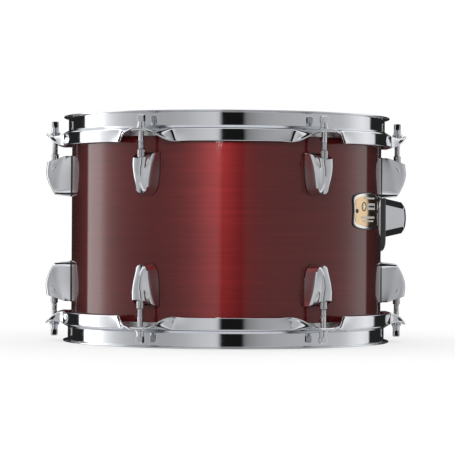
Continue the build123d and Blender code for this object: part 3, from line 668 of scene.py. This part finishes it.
def lug_outline(sizes, share):
    """Half outline of the lug at shares of its height from the top: distance from the shell's surface
    and half width, from the foot over the ridge, the flank and the notch to the tip of the nose.

    The ridge runs out as a falling power curve while it closes in. Under the top a notch is cut in the
    flank beside the nose, and narrows to nothing by a third of the height. The nose is a cubic Bezier
    that leaves the flank along it and meets the middle square. The keel factor, the height of a
    quarter circle, rounds every width off towards the bottom.
    """
    share = np.asarray(share, float)[:, None]
    low = np.clip((share - KNEE) / (1 - KNEE), 0.0, 1.0)
    keel = np.sqrt(1 - np.clip((share - KEEL_START) / (1 - KEEL_START), 0, 1) ** 2)
    foot_keel = np.sqrt(1 - 0.9 * np.clip((share - FOOT_START) / (1 - FOOT_START), 0, 1) ** 2)
    base = sizes.base_half * (1 - 0.36 * low ** 2.2) * np.minimum(foot_keel, 0.35 + 0.65 * keel)
    nose = sizes.reach * (1.0 + 0.035 * smooth(share / KNEE) - 0.355 * low ** 1.85)
    ridge_out = sizes.reach * (0.30 + 0.37 * (1 - (1 - share) ** 1.8))
    ridge_half = np.minimum(sizes.base_half * (0.99 - 0.52 * share) * keel, base)
    side_half = (sizes.nose_half - 2.2 * MM * share ** 1.2) * keel
    side_out = ridge_out + (nose - ridge_out) * (0.62 - 0.52 * share ** 1.5)
    notch = np.clip(1 - share / NOTCH_END, 0, 1)
    cut = np.minimum(1, 4 * notch)

    def flank(part):
        """Distance and half width at a part of the straight flank from the ridge to the nose."""
        return ridge_out + (side_out - ridge_out) * part, ridge_half + (side_half - ridge_half) * part

    brink_out, brink_half = flank(0.90 - 0.45 * notch)
    floor_out, floor_half = flank(0.95)
    floor_out = floor_out + (ridge_out + 1.0 * MM - floor_out) * notch
    floor_half = floor_half + (side_half + 1.7 * MM - floor_half) * cut
    wall = np.linspace(0, 1, 5)[None, :]
    step = np.linspace(0, 1, 5)[None, 1:]
    bend = np.linspace(0, 1, 17)[None, 1:]
    lean = (1 - cut) * (side_half - ridge_half) / (side_out - ridge_out) - 0.15 * cut
    reach_out = 0.66 * (nose - side_out)
    near_half = np.maximum(side_half + lean * reach_out, 0.35 * side_half)
    curve = [(1 - bend) ** 3, 3 * bend * (1 - bend) ** 2, 3 * bend ** 2 * (1 - bend), bend ** 3]
    nose_d = curve[0] * side_out + curve[1] * (side_out + reach_out) + (curve[2] + curve[3]) * nose
    nose_w = curve[0] * side_half + curve[1] * near_half + curve[2] * 0.80 * side_half

    def joined(start, stops, nose_part):
        """Straight runs from a start through the stops, then the nose."""
        runs = [start + (stops[0] - start) * wall]
        runs += [a + (b - a) * step for a, b in zip(stops, stops[1:])]
        return np.hstack(runs + [nose_part])

    d = joined(0.0, (ridge_out, brink_out, floor_out, side_out), nose_d)
    w = joined(base, (ridge_half, brink_half, floor_half, side_half), nose_w)
    w[:, -1] = 0.0
    return d, w


def lug_levels(sizes):
    """Share of the height, inset and drop of every row: a rounded top edge, the body and the keel."""
    r = sizes.rounding
    turn = np.radians([0.0, 30.0, 60.0, 90.0])
    body = np.linspace(0.02, KEEL_START, 32)
    keel = KEEL_START + (1 - KEEL_START) * np.sin(np.radians([15, 30, 43, 55, 65, 73, 79, 83]))
    share = np.concatenate([np.zeros(4), body, keel])
    inset = np.zeros(len(share))
    drop = np.zeros(len(share))
    inset[:4] = r * (1 - np.sin(turn))
    drop[:4] = r * (1 - np.cos(turn))
    return share, inset, drop


def lug_solid(sizes):
    """Points and faces of a lug above the mid-plane on +X.

    Each level is a closed ring: the half outline, its mirror image, and an arc over the saddle that
    lies on the gasket. A ring is drawn in along its own normals by the row's inset. Its height falls
    with the share of the lug's height and, towards the top, with the slope of the top face.
    """
    share, inset, drop = lug_levels(sizes)
    d, w = lug_outline(sizes, share)
    dd, dw = np.gradient(d, axis=1), np.gradient(w, axis=1)
    length = np.hypot(dd, dw)
    d = d + inset[:, None] * dw / length
    w = w - inset[:, None] * dd / length
    w[:, -1] = 0.0
    seat = SHELL_R + sizes.gasket
    d[:, 0] = 0.0
    back = np.linspace(-1, 1, 9)[None, 1:-1] * w[:, :1]
    ring_w = np.hstack([w, -w[:, -2::-1], back])
    saddle = np.sqrt(seat ** 2 - np.hstack([w[:, :1], back]) ** 2)
    x = SHELL_R + np.hstack([d, d[:, -2::-1], 0 * back])
    x[:, 0] = saddle[:, 0]
    x[:, 2 * d.shape[1] - 2] = saddle[:, 0]
    x[:, 2 * d.shape[1] - 1:] = saddle[:, 1:]
    out = x - SHELL_R
    top = LUG_TOP - sizes.top_slope * np.clip(out - sizes.flat_top, 0, None)
    bottom = LUG_TOP - sizes.height + 0.10 * out
    z = top + (bottom - top) * share[:, None] - drop[:, None]
    rows = np.stack([x, ring_w, z], axis=-1)
    return rows, d.shape[1]


def lug_faces(rows, half):
    """Quads round the lug, and top and bottom faces that join each point to its mirror point."""
    count, columns = rows.shape[:2]
    faces = tube_faces(count, columns)
    last = 2 * half - 2
    for row, flip in ((0, False), (count - 1, True)):
        base = row * columns
        cap = [[base + k, base + k + 1, base + last - k - 1, base + last - k] for k in range(1, half - 2)]
        cap.append([base + half - 2, base + half - 1, base + half])
        back = [base + i for i in range(last + 1, columns)]
        cap.append([base + 0, base + 1, base + last - 1, base + last] + back)
        faces += [f if flip else f[::-1] for f in cap]
    return faces


class TOM_OT_lugs(bpy.types.Operator):
    """Build the twelve cast lugs"""
    bl_idname = "tom.lugs"
    bl_label = "Lugs"

    def execute(self, context):
        sizes = context.scene.tom_lug
        rows, half = lug_solid(sizes)
        faces = lug_faces(rows, half)
        chrome = finish_of("cast_chrome")
        for side in SIDES:
            for k in range(LUG_COUNT):
                points = to_side(rows, side, k * 360 / LUG_COUNT).reshape(-1, 3)
                lug = make_object(f"{side}_cast_lug_{k + 1}", points, faces, chrome, 24.0)
                settle(lug, "drum", "chrome", f"{side}_lug_{k + 1}")
        return {"FINISHED"}


# ---- badge

BADGE_ANGLE = math.degrees(math.atan2(BADGE_LOW[1] + BADGE_HIGH[1], BADGE_LOW[0] + BADGE_HIGH[0]))
BADGE_HALF_ACROSS = 29.5 * MM
BADGE_POWER = 9             # power of the superellipse
BADGE_WAIST = 0.075         # share of the width by which the sides draw in at mid-height
BADGE_BOW = 0.20            # share of the height by which top and bottom fall towards the sides
EMBLEM = (-9.5 * MM, 4.2 * MM)


def badge_ring(shrink, height, around, part=1.0):
    """One ring of the badge: a rounded rectangle, a superellipse whose top and bottom bow out and
    whose sides draw in at mid-height, inset by a length, scaled to a part of its size about its
    middle and rolled on the shell at a height."""
    power = 2 / BADGE_POWER
    c, s = np.cos(around), np.sin(around)
    half_w, half_h = BADGE_HALF_ACROSS - shrink, BADGE_HEIGHT / 2 - shrink
    u = np.sign(c) * np.abs(c) ** power
    v = np.sign(s) * np.abs(s) ** power
    across = half_w * u * (1 - BADGE_WAIST * (1 - v ** 2))
    up = half_h * v * (1 - BADGE_BOW * u ** 2)
    return roll(part * across, part * up, height)


def roll(across, up, height):
    """Points of a flat drawing rolled on the shell at the badge: across becomes an arc of the shell."""
    angle = math.radians(BADGE_ANGLE) + across / SHELL_R
    r = SHELL_R + height
    return np.stack([r * np.cos(angle), r * np.sin(angle), BADGE_Z + up], axis=-1)


def badge_plate(name, rings, material):
    """A closed plate from (inset, height) rings, the first at its back and the last on its face.
    Smaller and smaller rings at the heights of those two keep the back and the face curved."""
    around = np.arange(144) / 144 * 2 * np.pi
    parts = (0.8, 0.6, 0.4, 0.2, 0.06)
    back = [badge_ring(*rings[0], around, part) for part in parts[::-1]]
    face = [badge_ring(*rings[-1], around, part) for part in parts]
    rows = np.stack(back + [badge_ring(shrink, height, around) for shrink, height in rings] + face)
    return solid_of_rows(name, rows, material, 40.0)


def raised_bar(name, centre, half, thick, low, high, material):
    """A raised bar on the badge: a bevelled section carried along an arc of the shell."""
    edge = 0.12 * MM
    across, up = centre
    section = [(-thick, low), (-thick, high - edge), (edge - thick, high), (thick - edge, high),
               (thick, high - edge), (thick, low)]
    rows = [[roll(a, up + u, h) for u, h in section] for a in across + half * np.linspace(-1, 1, 17)]
    return solid_of_rows(name, np.array(rows), material, 30.0)


def raised_shape(name, outline_across, outline_up, low, high, material):
    """A raised mark: a closed outline rolled on the badge from one height to another, softly edged."""
    edge = 0.12 * MM
    centre_a, centre_u = outline_across.mean(), outline_up.mean()
    reach = max(np.ptp(outline_across), np.ptp(outline_up)) / 2
    inner = 1 - edge / reach
    rows = [roll(outline_across, outline_up, low), roll(outline_across, outline_up, high - edge),
            roll(centre_a + (outline_across - centre_a) * inner,
                 centre_u + (outline_up - centre_u) * inner, high)]
    return solid_of_rows(name, np.stack(rows), material, 30.0)


def ring_mark(name, radius, width, low, high, material, across, up):
    """A raised ring on the badge: a square section carried round a circle and rolled on the shell."""
    around = np.arange(64) / 64 * 2 * np.pi
    section = [(radius - width, low), (radius - width, high - 0.1 * MM), (radius - width * 0.8, high),
               (radius + width * 0.8, high), (radius + width, high - 0.1 * MM), (radius + width, low)]
    rows = np.stack([roll(across + r * np.cos(around), up + r * np.sin(around), h) for r, h in section])
    faces = tube_faces(*rows.shape[:2], closed_rows=True)
    return make_object(name, rows.reshape(-1, 3), faces, material, 30.0)


class TOM_OT_badge(bpy.types.Operator):
    """Build the badge: black plate, silver rim, gold face and plain raised ornament"""
    bl_idname = "tom.badge"
    bl_label = "Badge"

    def execute(self, context):
        gold, silver, black = finish_of("badge_gold"), finish_of("badge_silver"), finish_of("black_enamel")
        printed = finish_of("badge_print")
        plate = badge_plate("badge_plate", [
            (0.3 * MM, 0.02 * MM), (0.0, 0.15 * MM), (0.0, 0.75 * MM), (0.15 * MM, 0.95 * MM),
            (1.1 * MM, 1.0 * MM)], black)
        settle(plate, "drum", "black_plastic", "badge")
        rim = badge_plate("badge_rim", [
            (1.0 * MM, 0.5 * MM), (1.0 * MM, 1.1 * MM), (1.2 * MM, 1.25 * MM), (3.4 * MM, 1.25 * MM),
            (3.6 * MM, 1.15 * MM)], silver)
        settle(rim, "drum", "badge_metal")
        face = badge_plate("badge_face", [
            (3.5 * MM, 0.6 * MM), (3.5 * MM, 1.22 * MM), (3.7 * MM, 1.3 * MM), (4.5 * MM, 1.3 * MM)], gold)
        settle(face, "drum", "badge_metal")
        low, high = 1.2 * MM, 1.55 * MM
        marks = [ring_mark("badge_circle", 3.9 * MM, 0.5 * MM, low, high, black, *EMBLEM)]
        turn = np.arange(4) / 4 * 2 * np.pi
        marks.append(raised_shape("badge_diamond", 2.0 * MM * np.cos(turn) + EMBLEM[0],
                                  2.0 * MM * np.sin(turn) + EMBLEM[1], low, high, silver))
        bars = [("crown", 12.2, 3.0, 11.5, 0.8, printed), ("panel", 4.4, 6.5, 9.0, 3.1, printed),
                ("tray", 4.4, 6.5, 7.0, 0.9, black), ("lower", -6.0, 0.0, 14.5, 1.0, printed),
                ("lowest", -9.4, 0.0, 11.5, 0.8, printed)]
        for label, up, across, half, thick, finish in bars:
            lift = 0.3 * MM if finish is black else 0.0
            marks.append(raised_bar(f"badge_bar_{label}", (across * MM, up * MM), half * MM, thick * MM,
                                    low + lift, high + lift, finish))
        ring = np.arange(24) / 24 * 2 * np.pi
        for way, label in ((-1, "left"), (1, "right")):
            cap = raised_shape(f"badge_pin_cap_{label}", way * 22.0 * MM + 2.0 * MM * np.cos(ring),
                               2.0 * MM * np.sin(ring), low, high + 0.2 * MM, black)
            settle(cap, "drum", "black_plastic")
        for mark in marks:
            settle(mark, "drum", "badge_metal")
        return {"FINISHED"}


# ---- stage

CAMERA_TURN = -2.2          # degrees from the front, positive towards +X
CAMERA_DISTANCE = 2.2       # from the drum's axis
CAMERA_ROLL = 0.33          # degrees
CAMERA_LENS = 177.8         # focal length in mm for a sensor 36 mm wide
CAMERA_SHIFT = (0.0027473, 0.0041758)
WORLD_PEAK = 2.5            # brightness of the brightest panel; a white backdrop has 1


def studio_world(tint):
    """White backdrop for the camera; for light and reflections a room of white panels.

    The direction's angle round Z from the camera is the arctangent of its parts across and towards
    the camera. The panels' brightness is a ramp of that angle in degrees: dark in a gap at the camera
    and behind the drum, and brightest beside the latter. Under them is a pale ground. High and low,
    in front and behind, are white coves, and straight up and down are dark. Diffuse light is even.
    """
    world = bpy.data.worlds.new("studio")
    world.use_nodes = True
    tree = world.node_tree
    background = next(n for n in tree.nodes if n.type == "BACKGROUND")
    output = next(n for n in tree.nodes if n.type == "OUTPUT_WORLD")
    turn = math.radians(CAMERA_TURN)
    towards = (math.sin(turn), -math.cos(turn), 0.0)
    right = (math.cos(turn), math.sin(turn), 0.0)
    coordinates = add_node(tree, "ShaderNodeTexCoord")
    direction = coordinates.outputs["Generated"]
    forward, aside = (add_node(tree, "ShaderNodeVectorMath", {0: direction, 1: way},
                               operation="DOT_PRODUCT").outputs["Value"] for way in (towards, right))
    angle = add_node(tree, "ShaderNodeMath", {0: aside, 1: forward}, operation="ARCTAN2")
    spread = add_node(tree, "ShaderNodeMapRange", {
        "Value": angle.outputs["Value"], "From Min": -math.pi, "From Max": math.pi})
    stops = [(-180, 0.02), (-124.7, 0.02), (-122.3, 2.2), (-107, 2.5), (-98, 1.25), (-92, 0.95), (-85, 0.75),
             (-78, 0.62), (-66, 0.52), (-54, 0.44), (-40, 0.47), (-28, 0.55), (-17, 0.68), (-8, 0.74),
             (-5, 0.64), (-3.4, 0.01), (11.7, 0.01), (13.2, 0.22), (17, 0.31), (24, 0.40), (34, 0.47),
             (50, 0.51), (80, 0.58), (90, 0.63), (97, 0.72), (105, 0.90), (115, 1.05), (125.2, 0.90),
             (127.7, 0.02), (180, 0.02)]
    panels = ramp(tree, spread.outputs["Result"], [(0.5 + a / 360, v / WORLD_PEAK) for a, v in stops])
    rise = add_node(tree, "ShaderNodeSeparateXYZ", {"Vector": direction}).outputs["Z"]

    def band(value, low, high):
        """Zero at one limit of a value and one at the other."""
        return add_node(tree, "ShaderNodeMapRange", {
            "Value": value, "From Min": low, "From Max": high}).outputs["Result"]

    def both(one, two):
        """Product of two masks."""
        return add_node(tree, "ShaderNodeMath", {0: one, 1: two}, operation="MULTIPLY").outputs["Value"]

    rear = band(forward, -0.32, -0.37)
    front = band(forward, 0.30, 0.36)
    layers = [(band(rise, -0.40, -0.48), 0.55),
              (band(rise, 0.72, 0.78), 0.02), (band(rise, -0.72, -0.78), 0.02),
              (both(front, band(rise, 0.66, 0.76)), 1.05), (both(front, band(rise, -0.66, -0.76)), 0.95),
              (both(rear, band(rise, 0.28, 0.36)), 1.15), (both(rear, band(rise, -0.28, -0.36)), 0.75)]
    light = panels
    for mask, level in layers:
        light = mix(tree, mask, light, grey(level / WORLD_PEAK))
    scaled = add_node(tree, "ShaderNodeVectorMath", {0: light, "Scale": WORLD_PEAK}, operation="SCALE")
    tree.links.new(scaled.outputs["Vector"], background.inputs["Color"])
    even = add_node(tree, "ShaderNodeBackground", {"Color": (*tint, 1.0), "Strength": 0.9})
    backdrop = add_node(tree, "ShaderNodeBackground", {"Color": (*tint, 1.0), "Strength": 1.0})
    path = add_node(tree, "ShaderNodeLightPath")
    filled = add_node(tree, "ShaderNodeMixShader", {
        0: path.outputs["Is Diffuse Ray"], 1: background.outputs[0], 2: even.outputs[0]})
    chooser = add_node(tree, "ShaderNodeMixShader", {
        0: path.outputs["Is Camera Ray"], 1: filled.outputs[0], 2: backdrop.outputs[0]})
    tree.links.new(chooser.outputs[0], output.inputs["Surface"])
    return world


def stage_floor(tint):
    """A wide pale floor under the drum, just clear of the ring it stands on."""
    half, count = 6.0, 9
    span = np.linspace(-half, half, count)
    x, y = np.meshgrid(span, span, indexing="ij")
    points = np.stack([x, y, 0 * x - 0.05 * MM], axis=-1).reshape(-1, 3)
    i, j = np.meshgrid(np.arange(count - 1), np.arange(count - 1), indexing="ij")
    start = i * count + j
    quads = np.stack([start, start + count, start + count + 1, start + 1], axis=-1)
    material, tree, shader = new_material("studio_floor", {
        "Roughness": 0.9, "Specular IOR Level": 0.0,
        "Emission Color": (*tint, 1.0), "Emission Strength": 0.55})
    speckle = place_noise(tree, 3.0, 2.0)
    drive(tree, shader, "Base Color", speckle, [(0.2, times(tint, 0.50)), (0.8, times(tint, 0.52))])
    mesh = bpy.data.meshes.new("studio_floor")
    mesh.from_pydata(points.tolist(), [], quads.reshape(-1, 4).tolist())
    mesh.materials.append(material)
    floor = bpy.data.objects.new("studio_floor", mesh)
    floor.visible_glossy = False
    bpy.context.scene.collection.objects.link(floor)


def area_light(name, place, target, wide, tall, power):
    """A soft rectangular lamp at a place, facing a target."""
    lamp = bpy.data.lights.new(name, "AREA")
    lamp.shape = "RECTANGLE"
    lamp.size, lamp.size_y = wide, tall
    lamp.energy = power
    holder = bpy.data.objects.new(name, lamp)
    holder.location = place
    holder.rotation_euler = (Vector(target) - Vector(place)).to_track_quat("-Z", "Y").to_euler()
    bpy.context.scene.collection.objects.link(holder)
    return holder


class TOM_OT_stage(bpy.types.Operator):
    """Set the floor, the studio light and the camera"""
    bl_idname = "tom.stage"
    bl_label = "Stage"

    def execute(self, context):
        scene = context.scene
        tint = tuple(scene.tom_finish.studio)
        scene.world = studio_world(tint)
        stage_floor(tint)
        strip = area_light("lacquer_strip", (-0.25, -1.90, MID_Z + 0.45), (0, 0, MID_Z),
                           wide=0.12, tall=0.6, power=27.0)
        lit = bpy.data.collections.new("lit_by_strip")
        lit.objects.link(frame["nodes"]["shell"])
        strip.light_linking.receiver_collection = lit
        camera = bpy.data.cameras.new("studio_camera")
        camera.lens = CAMERA_LENS
        camera.sensor_width = 36.0
        camera.shift_x, camera.shift_y = CAMERA_SHIFT
        holder = bpy.data.objects.new("studio_camera", camera)
        turn = math.radians(CAMERA_TURN)
        holder.location = (math.sin(turn) * CAMERA_DISTANCE, -math.cos(turn) * CAMERA_DISTANCE, MID_Z)
        holder.rotation_euler = Euler((math.pi / 2, 0.0, turn), "XYZ")
        holder.rotation_euler.rotate_axis("Z", math.radians(CAMERA_ROLL))
        scene.collection.objects.link(holder)
        scene.camera = holder
        scene.view_settings.view_transform = "Standard"
        return {"FINISHED"}


class TOM_PT_panel(bpy.types.Panel):
    """Lists the builders of the drum's pieces and their sizes"""
    bl_idname = "TOM_PT_panel"
    bl_label = "Tom Drum"
    bl_space_type = "VIEW_3D"
    bl_region_type = "UI"
    bl_category = "Tom Drum"

    def draw(self, context):
        for operator in OPERATORS:
            self.layout.operator(operator.bl_idname)
        for name, group in GROUPS.items():
            column = self.layout.column(heading=group.__doc__)
            for key in group.__annotations__:
                column.prop(getattr(context.scene, name), key)


OPERATORS = (TOM_OT_finishes, TOM_OT_hoops, TOM_OT_rods, TOM_OT_lugs, TOM_OT_badge, TOM_OT_stage)
CLASSES = (*GROUPS.values(), *OPERATORS, TOM_PT_panel)


def register():
    """Register the classes and hang the property groups on the scene."""
    for kind in CLASSES:
        bpy.utils.register_class(kind)
    for name, group in GROUPS.items():
        setattr(bpy.types.Scene, name, bpy.props.PointerProperty(type=group))


def unregister():
    """Take the property groups and classes away again."""
    for name in GROUPS:
        delattr(bpy.types.Scene, name)
    for kind in reversed(CLASSES):
        bpy.utils.unregister_class(kind)


def main():
    """Build every piece in order and write the packed and the visual model's boxes."""
    register()
    bpy.ops.tom.finishes()
    bpy.ops.tom.hoops()
    bpy.ops.tom.rods()
    bpy.ops.tom.lugs()
    bpy.ops.tom.badge()
    bpy.ops.tom.stage()


if __name__ == "__main__":
    main()
